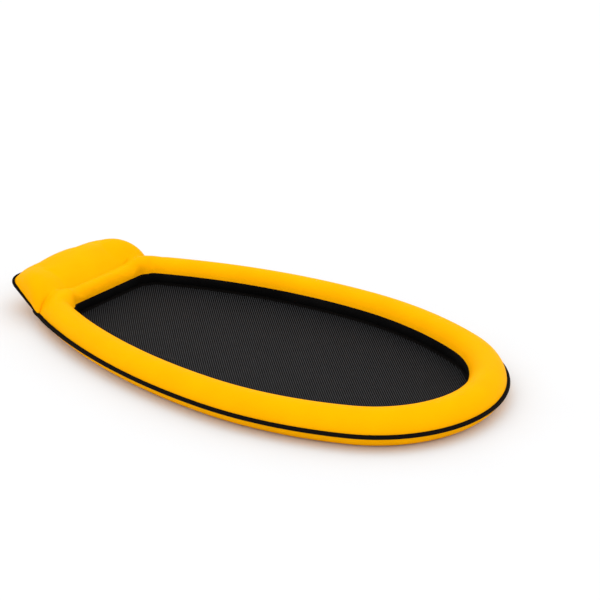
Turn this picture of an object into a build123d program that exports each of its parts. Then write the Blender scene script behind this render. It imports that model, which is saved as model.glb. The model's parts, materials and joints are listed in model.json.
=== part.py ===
"""Inflatable pool lounger: a fabric-covered air ring with a mesh bed and a raised pillow.

Millimetres. +Z is up, +Y points to the pillow, the floor is Z = 0, and X = 0 is the plane
of symmetry. The ring is one tube section carried round a plan outline of tangent arcs. The
pillow is built in its own tilted plane, whose origin lies on the pillow's hinge line.
"""
import os
from math import asin, atan2, cos, degrees, radians, sin, sqrt

from build123d import *

os.makedirs("parts", exist_ok=True)

# ---- plan outline of the ring's centre line ----
HALF_WIDTH = 404.0
WIDEST_Y = -165.0
HEAD_Y = 645.0
FOOT_Y = -800.0
CORNER_R = 97.0
UPPER_SIDE_R = 1836.0
FOOT_R = 342.0

# ---- tube section: flat foot, two lower quarters, short walls, half round top ----
TUBE_HALF_WIDTH = 53.0
SEAM_Z = 44.0
WALL_H = 4.0
FOOT_HALF_WIDTH = TUBE_HALF_WIDTH - SEAM_Z
TOP_CENTRE_Z = SEAM_Z + WALL_H
TUBE_TOP_Z = TOP_CENTRE_Z + TUBE_HALF_WIDTH
INNER_SEAM_Z = 60.0
MESH_SEAM_Z = 18.8
SECTION_REACH = 2 * TUBE_HALF_WIDTH

# ---- layers, counted inwards from the outside of the tube or pillow ----
COVER_T = 1.0
FLANGE_FROM = 1.3
FLANGE_TO = 2.3
BLADDER_FROM = 2.5
BLADDER_TO = 3.3
GAP = 0.2

# ---- edge binding with its spring hoop ----
BINDING_R = 5.0
BINDING_BORE_R = 2.6
BINDING_OUT = TUBE_HALF_WIDTH + BINDING_R + GAP
HOOP_R = 1.75
FERRULE_R = 2.5
FERRULE_HALF_ANGLE = 1.8

# ---- mesh bed ----
MESH_OUT = -52.0
TAPE_IN_OUT = -51.8
TAPE_OUT_OUT = -45.7
MESH_Z = 17.4
MESH_T = 1.2
TAPE_Z = 16.6
TAPE_T = 2.8

# ---- pillow, in its own plane ----
PILLOW_TILT = 20.0
HINGE_Y = HEAD_Y + BINDING_OUT
PILLOW_FRONT_V = 9.0
PILLOW_HEAD_V = 156.0
PILLOW_FRONT_HALF = 262.0
PILLOW_HEAD_HALF = 205.0
PILLOW_CORNER_R = 53.0
PILLOW_UP = 68.0
PILLOW_DOWN = 45.0
PILLOW_UP_R = 50.0
PILLOW_DOWN_R = 42.0
PILLOW_BINDING_R = 4.0
PILLOW_BINDING_FROM_V = 17.0
SLEEVE_HALF_LENGTH = 150.0
SLEEVE_R = BINDING_R + 0.06
SLEEVE_T = 1.1
SLEEVE_HALF_ANGLE = 100.0
WEB_T = 1.2

# ---- valves, measured along the valve's axis from the outside of the cover ----
VALVE_ANGLE = 30.0
FLANGE_R = 17.0
STEM_R = 6.5
STEM_BORE_R = 4.2
STEM_TOP = 7.5
STEM_BOTTOM = -16.0
STEM_HOLE_R = 6.8
COVER_HOLE_R = 8.0
COLLAR_R = 13.0
COLLAR_LIFT = 0.15
COLLAR_T = 1.0
PLUG_R = STEM_BORE_R - 0.06
PLUG_BOTTOM = -2.0
CAP_R = 8.2
CAP_LIFT = 0.3
CAP_T = 2.5
TAB_REACH = 13.0
TAB_WIDTH = 6.0
TAB_T = 1.5
FLAP_R = 5.4
FLAP_T = 0.8
FLAP_TAIL = 7.6
TETHER_Z = 3.0
TETHER_T = 0.9
TETHER_R = 7.9
TETHER_REACH = 16.0
TETHER_WIDTH = 5.0
PILLOW_VALVE_X = 70.0


def side_arcs():
    """Centre, radius, start and end angle of each arc on the +X side, head to foot."""
    side = (HALF_WIDTH - UPPER_SIDE_R, WIDEST_Y)
    corner_y = HEAD_Y - CORNER_R
    reach = UPPER_SIDE_R - CORNER_R
    corner = (side[0] + sqrt(reach**2 - (corner_y - WIDEST_Y)**2), corner_y)
    corner_end = degrees(asin((corner_y - WIDEST_Y) / reach))
    foot = (0.0, FOOT_Y + FOOT_R)
    drop = WIDEST_Y - foot[1]
    lower_r = (HALF_WIDTH**2 + drop**2 - FOOT_R**2) / (2 * (HALF_WIDTH - FOOT_R))
    lower = (HALF_WIDTH - lower_r, WIDEST_Y)
    lower_end = degrees(atan2(-drop, -lower[0]))
    return [
        (corner, CORNER_R, 90.0, corner_end),
        (side, UPPER_SIDE_R, corner_end, 0.0),
        (lower, lower_r, 0.0, lower_end),
        (foot, FOOT_R, lower_end, -90.0),
    ]


def outline(offset):
    """The ring's closed plan outline, moved outwards by offset, from the middle of the head."""
    arcs = side_arcs()
    head_half = arcs[0][0][0]
    with BuildLine() as line:
        Line((0, HEAD_Y + offset), (head_half, HEAD_Y + offset))
        for (x, y), radius, start, end in arcs:
            CenterArc((x, y), radius + offset, start, end - start)
        for (x, y), radius, start, end in reversed(arcs):
            CenterArc((-x, y), radius + offset, 180 - end, end - start)
        Line((-head_half, HEAD_Y + offset), (0, HEAD_Y + offset))
    return line.wire()


def section_face(inset):
    """The tube's section, local X outwards and local Y up, moved inwards by inset."""
    low_r = SEAM_Z - inset
    top_r = TUBE_HALF_WIDTH - inset
    with BuildSketch() as face:
        with BuildLine():
            Line((-FOOT_HALF_WIDTH, inset), (FOOT_HALF_WIDTH, inset))
            CenterArc((FOOT_HALF_WIDTH, SEAM_Z), low_r, 270, 90)
            Line((top_r, SEAM_Z), (top_r, TOP_CENTRE_Z))
            CenterArc((0, TOP_CENTRE_Z), top_r, 0, 180)
            Line((-top_r, TOP_CENTRE_Z), (-top_r, SEAM_Z))
            CenterArc((-FOOT_HALF_WIDTH, SEAM_Z), low_r, 180, 90)
        make_face()
    return face.sketch


def section_plane():
    """The section's plane at the middle of the head bar, where the path runs along +X."""
    return Plane(origin=(0, HEAD_Y, 0), x_dir=(0, 1, 0), z_dir=(1, 0, 0))


def layer_sketch(inset_out, inset_in, corners):
    """The part of the tube's wall between two insets that lies inside the given corners."""
    with BuildSketch(section_plane()) as sketch:
        add(section_face(inset_out))
        add(section_face(inset_in), mode=Mode.SUBTRACT)
        with BuildLine():
            Polyline(*corners, close=True)
        make_face(mode=Mode.INTERSECT)
    return sketch.sketch


def tube_point(angle):
    """A point on the lower outer quarter of the tube at WIDEST_Y, angle below level."""
    out = HALF_WIDTH + FOOT_HALF_WIDTH + SEAM_Z * cos(radians(angle))
    return (out, WIDEST_Y, SEAM_Z - SEAM_Z * sin(radians(angle)))


def tube_valve_plane():
    """On the tube's outer flank under the binding, Z out of the tube, X along the tube."""
    lean = radians(VALVE_ANGLE)
    return Plane(origin=tube_point(VALVE_ANGLE), x_dir=(0, 1, 0), z_dir=(cos(lean), 0, -sin(lean)))


def pillow_plane():
    """Origin on the hinge line, X across, Y up the pillow's slope."""
    tilt = radians(PILLOW_TILT)
    return Plane(origin=(0, HINGE_Y, SEAM_Z), x_dir=(1, 0, 0), z_dir=(0, -sin(tilt), cos(tilt)))


def pillow_valve_plane():
    """On the pillow's head side under its binding, Z out of the pillow, X across."""
    lean = radians(VALVE_ANGLE)
    base = pillow_plane()
    along = PILLOW_HEAD_V - PILLOW_DOWN_R + PILLOW_DOWN_R * cos(lean)
    down = PILLOW_DOWN - PILLOW_DOWN_R + PILLOW_DOWN_R * sin(lean)
    origin = base.from_local_coords(Vector(PILLOW_VALVE_X, along, -down))
    outward = base.y_dir * cos(lean) - base.z_dir * sin(lean)
    return Plane(origin=origin, x_dir=base.x_dir, z_dir=outward)


def finish(part, label):
    """Name a finished piece and write it."""
    part.label = label
    export_step(part, f"parts/{label}.step")


def drill(plane, radius):
    """Cut a round hole through the wall that the plane lies on."""
    with Locations(plane):
        Cylinder(radius, 2 * FLANGE_R, mode=Mode.SUBTRACT)


# ---- ring covers, inner wall and bladder ----
TOP_CORNERS = [
    (0, SEAM_Z), (SECTION_REACH, SEAM_Z), (SECTION_REACH, 2 * TUBE_TOP_Z),
    (-SECTION_REACH, 2 * TUBE_TOP_Z), (-SECTION_REACH, INNER_SEAM_Z), (0, INNER_SEAM_Z),
]
INNER_CORNERS = [
    (0, INNER_SEAM_Z), (-SECTION_REACH, INNER_SEAM_Z), (-SECTION_REACH, MESH_SEAM_Z),
    (0, MESH_SEAM_Z),
]
BOTTOM_CORNERS = [
    (0, SEAM_Z), (SECTION_REACH, SEAM_Z), (SECTION_REACH, -SEAM_Z),
    (-SECTION_REACH, -SEAM_Z), (-SECTION_REACH, MESH_SEAM_Z), (0, MESH_SEAM_Z),
]
ALL_CORNERS = [
    (SECTION_REACH, 2 * TUBE_TOP_Z), (SECTION_REACH, -SEAM_Z),
    (-SECTION_REACH, -SEAM_Z), (-SECTION_REACH, 2 * TUBE_TOP_Z),
]

with BuildPart() as tube_cover_top:
    add(layer_sketch(0, COVER_T, TOP_CORNERS))
    sweep(path=outline(0))
finish(tube_cover_top.part, "tube_cover_top")

with BuildPart() as tube_inner_wall:
    add(layer_sketch(0, COVER_T, INNER_CORNERS))
    sweep(path=outline(0))
finish(tube_inner_wall.part, "tube_inner_wall")

with BuildPart() as tube_cover_bottom:
    add(layer_sketch(0, COVER_T, BOTTOM_CORNERS))
    sweep(path=outline(0))
    drill(tube_valve_plane(), COVER_HOLE_R)
finish(tube_cover_bottom.part, "tube_cover_bottom")

with BuildPart() as tube_bladder:
    add(layer_sketch(BLADDER_FROM, BLADDER_TO, ALL_CORNERS))
    sweep(path=outline(0))
    drill(tube_valve_plane(), STEM_HOLE_R)
finish(tube_bladder.part, "tube_bladder")


# ---- edge binding, spring hoop and its ferrule ----
def edge_ring(outer_r, inner_r):
    """A round ring along the binding's line, hollow where inner_r is more than nothing."""
    with BuildPart() as ring:
        with BuildSketch(section_plane()):
            with Locations((BINDING_OUT, SEAM_Z)):
                Circle(outer_r)
                if inner_r > 0:
                    Circle(inner_r, mode=Mode.SUBTRACT)
        sweep(path=outline(BINDING_OUT))
    return ring.part


finish(edge_ring(BINDING_R, BINDING_BORE_R), "edge_binding")
finish(edge_ring(HOOP_R, 0), "spring_hoop")

with BuildPart() as hoop_ferrule:
    with BuildSketch(Plane.YZ):
        with Locations((FOOT_Y - BINDING_OUT, SEAM_Z)):
            Circle(FERRULE_R)
            Circle(HOOP_R + GAP / 4, mode=Mode.SUBTRACT)
    revolve(
        axis=Axis((0, FOOT_Y + FOOT_R, 0), (0, 0, 1)),
        revolution_arc=2 * FERRULE_HALF_ANGLE,
    )
hoop_ferrule_part = hoop_ferrule.part.rotate(
    Axis((0, FOOT_Y + FOOT_R, 0), (0, 0, 1)), -FERRULE_HALF_ANGLE
)
finish(hoop_ferrule_part, "hoop_ferrule")

# ---- mesh bed and the tape that sews it to the inner wall ----
with BuildPart() as mesh_panel:
    with BuildSketch(Plane.XY.offset(MESH_Z)):
        add(make_face(outline(MESH_OUT).edges()))
    extrude(amount=MESH_T)
finish(mesh_panel.part, "mesh_panel")

with BuildPart() as mesh_seam_tape:
    with BuildSketch(Plane.XY.offset(TAPE_Z)):
        add(make_face(outline(TAPE_OUT_OUT).edges()))
        add(make_face(outline(TAPE_IN_OUT).edges()), mode=Mode.SUBTRACT)
    extrude(amount=TAPE_T)
finish(mesh_seam_tape.part, "mesh_seam_tape")


# ---- pillow ----
def pillow_plan(grow):
    """The pillow's plan outline in local X and Y, grown by grow."""
    with BuildSketch() as plan:
        with BuildLine():
            Polyline(
                (-PILLOW_FRONT_HALF, PILLOW_FRONT_V), (PILLOW_FRONT_HALF, PILLOW_FRONT_V),
                (PILLOW_HEAD_HALF, PILLOW_HEAD_V), (-PILLOW_HEAD_HALF, PILLOW_HEAD_V),
                close=True,
            )
        make_face()
        fillet(plan.vertices(), PILLOW_CORNER_R)
        if grow != 0:
            offset(amount=grow, mode=Mode.REPLACE)
    return plan.sketch


def pillow_form(inset):
    """The pillow's puffed block, moved inwards by inset on every side."""
    upwards = Axis(pillow_plane().origin, pillow_plane().z_dir)
    with BuildPart() as form:
        with BuildSketch(pillow_plane().offset(inset - PILLOW_DOWN)):
            add(pillow_plan(-inset))
        extrude(amount=PILLOW_UP + PILLOW_DOWN - 2 * inset)
        fillet(form.faces().sort_by(upwards)[-1].edges(), PILLOW_UP_R - inset)
        fillet(form.faces().sort_by(upwards)[0].edges(), PILLOW_DOWN_R - inset)
    return form.part


pillow_outside = pillow_form(0)
pillow_cavity = pillow_form(COVER_T)

with BuildPart() as pillow_cover_top:
    add(pillow_outside)
    add(pillow_cavity, mode=Mode.SUBTRACT)
    split(bisect_by=pillow_plane(), keep=Keep.TOP)
finish(pillow_cover_top.part, "pillow_cover_top")

with BuildPart() as pillow_cover_bottom:
    add(pillow_outside)
    add(pillow_cavity, mode=Mode.SUBTRACT)
    split(bisect_by=pillow_plane(), keep=Keep.BOTTOM)
    drill(pillow_valve_plane(), COVER_HOLE_R)
finish(pillow_cover_bottom.part, "pillow_cover_bottom")

with BuildPart() as pillow_bladder:
    add(pillow_form(BLADDER_FROM))
    add(pillow_form(BLADDER_TO), mode=Mode.SUBTRACT)
    drill(pillow_valve_plane(), STEM_HOLE_R)
finish(pillow_bladder.part, "pillow_bladder")

with BuildPart() as pillow_binding:
    with BuildSketch(pillow_plane(), mode=Mode.PRIVATE) as rim:
        add(pillow_plan(PILLOW_BINDING_R + GAP))
    path = Wire(rim.sketch.edges().sort_by(Axis.Y)[1:])
    with BuildSketch(Plane(origin=path @ 0, z_dir=path % 0)):
        Circle(PILLOW_BINDING_R)
    sweep(path=path)
    slope = pillow_plane()
    end = slope.from_local_coords(Vector(0, PILLOW_BINDING_FROM_V, 0))
    split(bisect_by=Plane(origin=end, z_dir=slope.y_dir), keep=Keep.TOP)
finish(pillow_binding.part, "pillow_binding")

with BuildPart() as pillow_hinge_sleeve:
    across = Plane(origin=(-SLEEVE_HALF_LENGTH, HINGE_Y, SEAM_Z), x_dir=pillow_plane().y_dir,
                   z_dir=(1, 0, 0))
    with BuildSketch(across):
        with BuildLine():
            start = -SLEEVE_HALF_ANGLE
            inner = CenterArc((0, 0), SLEEVE_R, start, 2 * SLEEVE_HALF_ANGLE)
            outer = CenterArc((0, 0), SLEEVE_R + SLEEVE_T, start, 2 * SLEEVE_HALF_ANGLE)
            Line(inner @ 0, outer @ 0)
            Line(inner @ 1, outer @ 1)
        make_face()
        web_from = SLEEVE_R + SLEEVE_T / 2
        with Locations(((web_from + PILLOW_FRONT_V) / 2, 0)):
            Rectangle(PILLOW_FRONT_V - web_from, WEB_T)
    extrude(amount=2 * SLEEVE_HALF_LENGTH)
finish(pillow_hinge_sleeve.part, "pillow_hinge_sleeve")


# ---- valves ----
def wall_patch(plane, wall_r, top, bottom, outer_r, inner_r):
    """A round patch of a curved wall, between two depths, with a round hole."""
    with BuildPart() as patch:
        with BuildSketch(Plane(origin=plane.origin, x_dir=plane.y_dir, z_dir=plane.x_dir)):
            with Locations((0, -wall_r)):
                Circle(wall_r + top)
                Circle(wall_r + bottom, mode=Mode.SUBTRACT)
        extrude(amount=2 * outer_r, both=True)
        with BuildSketch(plane):
            Circle(outer_r)
            Circle(inner_r, mode=Mode.SUBTRACT)
        extrude(amount=wall_r / 2, both=True, mode=Mode.INTERSECT)
    return patch.part


def valve_base(plane, wall_r):
    """The flange welded to the bladder and the stem that leads the air through it."""
    with BuildPart() as base:
        add(wall_patch(plane, wall_r, -FLANGE_FROM, -FLANGE_TO, FLANGE_R, STEM_BORE_R))
        with BuildSketch(plane.offset(STEM_BOTTOM)):
            Circle(STEM_R)
            Circle(STEM_BORE_R, mode=Mode.SUBTRACT)
        extrude(amount=STEM_TOP - STEM_BOTTOM)
    return base.part


def valve_cap(plane):
    """The plug that closes the stem, with its disc and pull tab."""
    with BuildPart() as cap:
        with BuildSketch(plane.offset(PLUG_BOTTOM)):
            Circle(PLUG_R)
        extrude(amount=STEM_TOP + CAP_LIFT - PLUG_BOTTOM)
        with BuildSketch(plane.offset(STEM_TOP + CAP_LIFT)):
            Circle(CAP_R)
        extrude(amount=CAP_T)
        with BuildSketch(plane.offset(STEM_TOP + CAP_LIFT)):
            with Locations((TAB_REACH / 2, 0)):
                Rectangle(TAB_REACH, TAB_WIDTH)
        extrude(amount=TAB_T)
    return cap.part


def valve_flap(plane):
    """The soft check flap that the chamber's air presses against the stem's inner end."""
    with BuildPart() as flap:
        with BuildSketch(plane.offset(STEM_BOTTOM - CAP_LIFT)):
            Circle(FLAP_R)
            with Locations((0, -FLAP_TAIL / 2)):
                Rectangle(FLAP_R, FLAP_TAIL)
        extrude(amount=-FLAP_T)
    return flap.part


def valve_tether(plane):
    """A ring round the stem and the strap that leads from it up beside the cap's tab."""
    with BuildPart() as tether:
        with BuildSketch(plane.offset(TETHER_Z)):
            Circle(TETHER_R)
            with Locations((TETHER_REACH / 2, 0)):
                Rectangle(TETHER_REACH, TETHER_WIDTH)
            Circle(STEM_R + GAP / 4, mode=Mode.SUBTRACT)
        extrude(amount=TETHER_T)
        with BuildSketch(plane.offset(TETHER_Z)):
            with Locations((TETHER_REACH - TETHER_T / 2, 0)):
                Rectangle(TETHER_T, TETHER_WIDTH)
        extrude(amount=STEM_TOP + TAB_T - TETHER_Z)
    return tether.part


VALVES = [
    ("tube", tube_valve_plane(), SEAM_Z),
    ("pillow", pillow_valve_plane(), PILLOW_DOWN_R),
]
for owner, plane, wall_r in VALVES:
    collar = wall_patch(plane, wall_r, COLLAR_LIFT + COLLAR_T, COLLAR_LIFT, COLLAR_R, COVER_HOLE_R)
    finish(collar, f"{owner}_valve_collar")
    finish(valve_base(plane, wall_r), f"{owner}_valve_base")
    finish(valve_cap(plane), f"{owner}_valve_cap")
    finish(valve_flap(plane), f"{owner}_valve_flap")
    finish(valve_tether(plane), f"{owner}_valve_tether")

for name, plane, _ in VALVES:
    hinge = plane.from_local_coords(Vector(0, -FLAP_TAIL, STEM_BOTTOM - CAP_LIFT - FLAP_T / 2))
    print(name, "valve axis", plane.z_dir, "flap hinge at", hinge, "along", plane.x_dir)
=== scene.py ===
"""Looks of the inflatable pool lounger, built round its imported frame.

Metres. +Z is up, +Y points to the pillow, and the floor is Z = 0. The covers of the ring and
the pillow are made as one closed skin, so that they join without a gap, and cut into their
pieces at the seams at the end.
"""

import json
import math

import bpy
import numpy as np
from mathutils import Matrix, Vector


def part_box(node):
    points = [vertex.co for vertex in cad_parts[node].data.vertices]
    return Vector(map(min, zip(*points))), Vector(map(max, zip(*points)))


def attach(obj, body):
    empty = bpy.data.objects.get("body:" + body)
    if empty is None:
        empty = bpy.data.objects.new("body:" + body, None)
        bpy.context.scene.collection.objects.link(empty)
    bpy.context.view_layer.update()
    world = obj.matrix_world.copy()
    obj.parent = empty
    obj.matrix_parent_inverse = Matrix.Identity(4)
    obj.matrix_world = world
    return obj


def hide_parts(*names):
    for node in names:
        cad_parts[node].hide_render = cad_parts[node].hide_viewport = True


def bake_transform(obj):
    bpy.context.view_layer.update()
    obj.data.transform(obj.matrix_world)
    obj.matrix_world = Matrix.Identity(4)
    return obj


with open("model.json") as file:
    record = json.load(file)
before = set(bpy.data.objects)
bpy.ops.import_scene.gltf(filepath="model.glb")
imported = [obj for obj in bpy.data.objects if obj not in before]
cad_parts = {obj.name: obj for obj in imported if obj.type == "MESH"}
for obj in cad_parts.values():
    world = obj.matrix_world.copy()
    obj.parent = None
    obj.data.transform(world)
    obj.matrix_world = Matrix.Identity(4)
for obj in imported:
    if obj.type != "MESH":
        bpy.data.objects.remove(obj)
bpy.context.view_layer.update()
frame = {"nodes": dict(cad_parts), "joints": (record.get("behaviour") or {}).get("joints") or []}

# ---- the ring's plan: the arcs of its centre line ----
BINDING_REACH = 0.0632
HEAD_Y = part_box("edge_binding")[1].y - BINDING_REACH
FOOT_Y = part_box("edge_binding")[0].y + BINDING_REACH
HALF_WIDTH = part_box("edge_binding")[1].x - BINDING_REACH
WIDEST_Y = -0.165
CORNER_R = 0.097
UPPER_SIDE_R = 1.836
FOOT_R = 0.342

# ---- the tube's section, before it grows towards the foot ----
TUBE_HALF = 0.053
TUBE_RISE = 0.057
SEAM_Z = 0.044
INNER_SEAM_ANGLE = math.radians(163.5)
MESH_SEAM_ANGLE = math.radians(35)
GROWTH = 0.11
GROWTH_FROM_Y = -0.089
LEAST_GROWTH = 0.94
BINDING_R = 0.0052

# ---- the head bar and its crease with the pillow ----
CREASE_ANGLE = math.radians(50)
CREASE_FLATNESS = 12
CREASE_HALF = 0.045
CROWN_SHIFT = 0.019
CROWN_FLATNESS = 6
CORNER_FULLNESS = 0.08
INNER_FULLNESS = 0.18
CREASE_END_ANGLE = math.radians(45)

# ---- the pillow ----
TILT = math.tan(math.radians(20))
PILLOW_HEAD_Y = 0.8475
PILLOW_HEAD_HALF = 0.201
PILLOW_CORNER_R = 0.052
CREST_Z = 0.1475
CREST_Y = 0.77
CREST_FALL = 1.7
HEAD_ROUNDING = 0.046
HEAD_ROUNDING_GAIN = 2.6
SIDE_ROUNDING = 0.055
RIM_ROUNDING = 0.016
FRONT_SHARPNESS = 3.5
FLANK_X = 0.160
FLANK_Y = (0.60, 0.76)
FLANK_ROUNDS = 6
HEAD_END_Y = 0.78
HEAD_END_ROUNDS = 4
PUFF_X = 0.13
PUFF_Y = (0.585, 0.842)
PUFF = 0.025
PILLOW_DROP = 0.024
BACK_DROP = 0.016
BACK_HALF = 0.185
BACK_FADE = 0.075
BACK_CENTRE = (0.8114, 0.0815)
BACK_R = 0.042
BACK_TOP_ANGLE = 22
BACK_TOP_FADE = 20
BACK_LOW_ANGLE = -125
BACK_LOW_FADE = 50
FULL_LENGTH = 0.10
PILLOW_BINDING_R = 0.0042
PILLOW_LEG = 0.0052

# ---- where the lower covers lie against the valves' collars ----
VALVE_SEAT_R = 0.0180
VALVE_SEAT_FADE = 0.0060
SEAT_BORDER_FADE = 0.0040
COLLAR_TOP = 0.0013
VALVE_WALL_R = 0.043

# ---- how fine the skin is ----
HEAD_COLUMNS = 50
CORNER_COLUMNS = 4
BODY_COLUMNS = 380
TOP_ROWS = 20
WALL_ROWS = 7
BOTTOM_ROWS = 18
PILLOW_ROWS = 24
BED_ROWS = 34

# ---- regions of the skin ----
REGIONS = range(5)
TOP, WALL, BOTTOM, PILLOW_TOP, PILLOW_BOTTOM = REGIONS

# ---- covers, their cloth simulation, and the bladders inside ----
CLOTH_FROM_Y = 0.5
CLOTH_PINNED_RUN = 0.03
CLOTH_EASE = 0.002
CLOTH_CAP = 0.005
CLOTH_FRAMES = 20
CLOTH_STEPS = 6
CLOTH_MASS = 0.3
CLOTH_STRETCH = 30
CLOTH_SHEAR = 15
CLOTH_BENDING = 0.6
AIR_PRESSURE = 4
COVER_THICKNESS = 0.0009
BLADDER_INSET = 0.003
BLADDER_SMOOTHING = 6

# ---- bindings ----
RING_STEPS = 480
PILLOW_STEPS = 150
BINDING_LEG = 0.0060
HOOP_COVER = 0.0518
BINDING_THICK = 0.0013

# ---- the net's strands, as phase per metre ----
NET_X = 110 * math.pi
NET_Y = 107 * math.pi

# ---- floor and light ----
FLOOR_TONE = (0.692, 0.698, 0.706)
FLOOR_TONE_LIGHT = (0.700, 0.706, 0.714)
WORLD_STRENGTH = 1.25
OVERHEAD_STRENGTH = 0.65

# ---- stitches of the bindings ----
STITCH_PITCH = 0.0042
STITCH_FROM_EDGE = 0.0032
STITCH_HALF = 0.0004

# ---- mesh bed ----
BED_EDGE_Z = SEAM_Z * (1 - math.sin(MESH_SEAM_ANGLE))
BED_SPINE_END = 0.30
BED_SAG = 0.0095
BED_SAG_RUN = 0.09
BED_PUCKER = 0.0009
BED_PUCKER_PITCH = 0.034
BED_PUCKER_REACH = 0.016
BED_THICKNESS = 0.0008
SEAM_TAPE_PROFILE = (
    (0.0, 0.0003),
    (-0.0052, 0.0074),
    (-0.0061, 0.0068),
    (-0.0019, 0.0012),
    (-0.0090, 0.0012),
    (-0.0090, 0.0003),
)
BED_WRINKLES = (
    (((-0.17, 0.50), (-0.19, 0.36)), 0.011, 0.007),
    (((-0.24, 0.24), (-0.22, 0.10)), 0.011, 0.007),
)


def side_arcs():
    """Centre, radius, start and end angle of each arc on the +X side, head to foot."""
    side = (HALF_WIDTH - UPPER_SIDE_R, WIDEST_Y)
    corner_y = HEAD_Y - CORNER_R
    reach = UPPER_SIDE_R - CORNER_R
    corner = (side[0] + math.sqrt(reach**2 - (corner_y - WIDEST_Y)**2), corner_y)
    corner_end = math.asin((corner_y - WIDEST_Y) / reach)
    foot = (0.0, FOOT_Y + FOOT_R)
    drop = WIDEST_Y - foot[1]
    lower_r = (HALF_WIDTH**2 + drop**2 - FOOT_R**2) / (2 * (HALF_WIDTH - FOOT_R))
    lower = (HALF_WIDTH - lower_r, WIDEST_Y)
    lower_end = math.atan2(-drop, -lower[0])
    return [
        (corner, CORNER_R, math.pi / 2, corner_end),
        (side, UPPER_SIDE_R, corner_end, 0.0),
        (lower, lower_r, 0.0, lower_end),
        (foot, FOOT_R, lower_end, -math.pi / 2),
    ]


ARCS = side_arcs()
HEAD_HALF = ARCS[0][0][0]
CORNER_END = ARCS[0][3]
HALF_LENGTH = HEAD_HALF + sum(radius * (start - end) for _, radius, start, end in ARCS)
JUNCTION_ANGLE = (math.pi / 2 + CORNER_END) / 2
JUNCTION_S = HEAD_HALF + CORNER_R * (math.pi / 2 - JUNCTION_ANGLE)
CREASE_END_S = HEAD_HALF + CORNER_R * (math.pi / 2 - CREASE_END_ANGLE)


def plan_at(s):
    """Centre-line points and outward angles at distances s from the head's middle, going +X."""
    s = np.mod(np.asarray(s, float), 2 * HALF_LENGTH)
    mirrored = s > HALF_LENGTH
    d = np.where(mirrored, 2 * HALF_LENGTH - s, s)
    x, y, angle = d.copy(), np.full(d.shape, HEAD_Y), np.full(d.shape, math.pi / 2)
    passed = HEAD_HALF
    for (cx, cy), radius, start, end in ARCS:
        on = d >= passed
        turn = start - (d[on] - passed) / radius
        angle[on] = turn
        x[on] = cx + radius * np.cos(turn)
        y[on] = cy + radius * np.sin(turn)
        passed += radius * (start - end)
    x = np.where(mirrored, -x, x)
    angle = np.where(mirrored, math.pi - angle, angle)
    return np.stack([x, y], 1), angle


def growth(y):
    """How much larger than at GROWTH_FROM_Y the tube's section is."""
    return np.maximum(LEAST_GROWTH, 1 - GROWTH * (y - GROWTH_FROM_Y))


def smooth(share):
    """A share from 0 to 1 with soft ends."""
    return share * share * (3 - 2 * share)


def corner_share(angle):
    """0 away from the head corners and 1 where the ring's side meets the pillow's."""
    folded = np.where(np.cos(angle) < 0, math.pi - angle, angle)
    half = (math.pi / 2 - CORNER_END) / 2
    return np.clip(1 - np.abs(folded - JUNCTION_ANGLE) / half, 0, 1)


def reach_out(angle, half):
    """From the centre line to the outline that runs straight on past the rounded corner."""
    folded = np.where(np.cos(angle) < 0, math.pi - angle, angle)
    at_corner = folded > CORNER_END
    side = np.cos(folded - CORNER_END)
    head = np.sin(folded)
    sharp = (side**26 + head**26)**(1 / 26)
    return np.where(at_corner, (CORNER_R + half) / sharp - CORNER_R, half)


class Stations:
    """The ring's sections at distances s along the centre line."""

    def __init__(self, s):
        self.s = np.asarray(s, float)
        self.centre, self.angle = plan_at(self.s)
        self.out = np.stack([np.cos(self.angle), np.sin(self.angle)], 1)
        grown = growth(self.centre[:, 1])
        self.inner = TUBE_HALF * grown * (1 + INNER_FULLNESS * smooth(corner_share(self.angle)))
        self.outer = reach_out(self.angle, TUBE_HALF * grown)
        self.rise = TUBE_RISE * grown * (1 + CORNER_FULLNESS * corner_share(self.angle))
        wrapped = np.where(self.s > HALF_LENGTH, self.s - 2 * HALF_LENGTH, self.s)
        share = np.clip(np.abs(wrapped) / CREASE_END_S, 0, 1)
        self.on_bar = 1 - share**CREASE_FLATNESS
        self.crown = -CROWN_SHIFT * (1 - share**CROWN_FLATNESS)
        self.top_outer = self.outer + (CREASE_HALF - self.outer) * self.on_bar

    def at(self, across, height):
        """Points at the given distances outwards and heights, rows by stations."""
        across, height = np.broadcast_arrays(across, height)
        plan = self.centre[None] + self.out[None] * across[..., None]
        return np.concatenate([plan, height[..., None]], 2)

    def upper(self, angles):
        """Points on the upper half, at angles above level from the outer edge."""
        cos = np.cos(angles)
        half = np.where(cos > 0, self.top_outer, self.inner + self.crown)
        return self.at(self.crown + half * cos, SEAM_Z + self.rise * np.sin(angles))

    def inner_quarter(self, angles):
        """Points on the lower inner quarter, at angles below level."""
        across = -(self.inner - SEAM_Z + SEAM_Z * np.cos(angles))
        return self.at(across, SEAM_Z - SEAM_Z * np.sin(angles))

    def outer_quarter(self, angles):
        """Points on the lower outer quarter, at angles below level."""
        across = self.outer - SEAM_Z + SEAM_Z * np.cos(angles)
        return self.at(across, SEAM_Z - SEAM_Z * np.sin(angles))


def even(start, end, steps):
    return np.linspace(start, end, steps + 1)[:, None]


def ring_stations():
    """Stations all round: between the crease's ends, with one at each junction, then the rest."""
    head = np.linspace(-JUNCTION_S, JUNCTION_S, HEAD_COLUMNS + 1)
    corner = np.linspace(JUNCTION_S, CREASE_END_S, CORNER_COLUMNS + 1)[1:]
    body = np.linspace(CREASE_END_S, 2 * HALF_LENGTH - CREASE_END_S, BODY_COLUMNS + 1)[1:-1]
    return Stations(np.concatenate([-corner[::-1], head, corner, body]))


def ring_top(stations):
    """The upper cover, from the crease by the pillow or the outer edge to the inner seam."""
    start = CREASE_ANGLE * stations.on_bar
    share = even(0, 1, TOP_ROWS)
    return stations.upper(start + (INNER_SEAM_ANGLE - start) * share)


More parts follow.
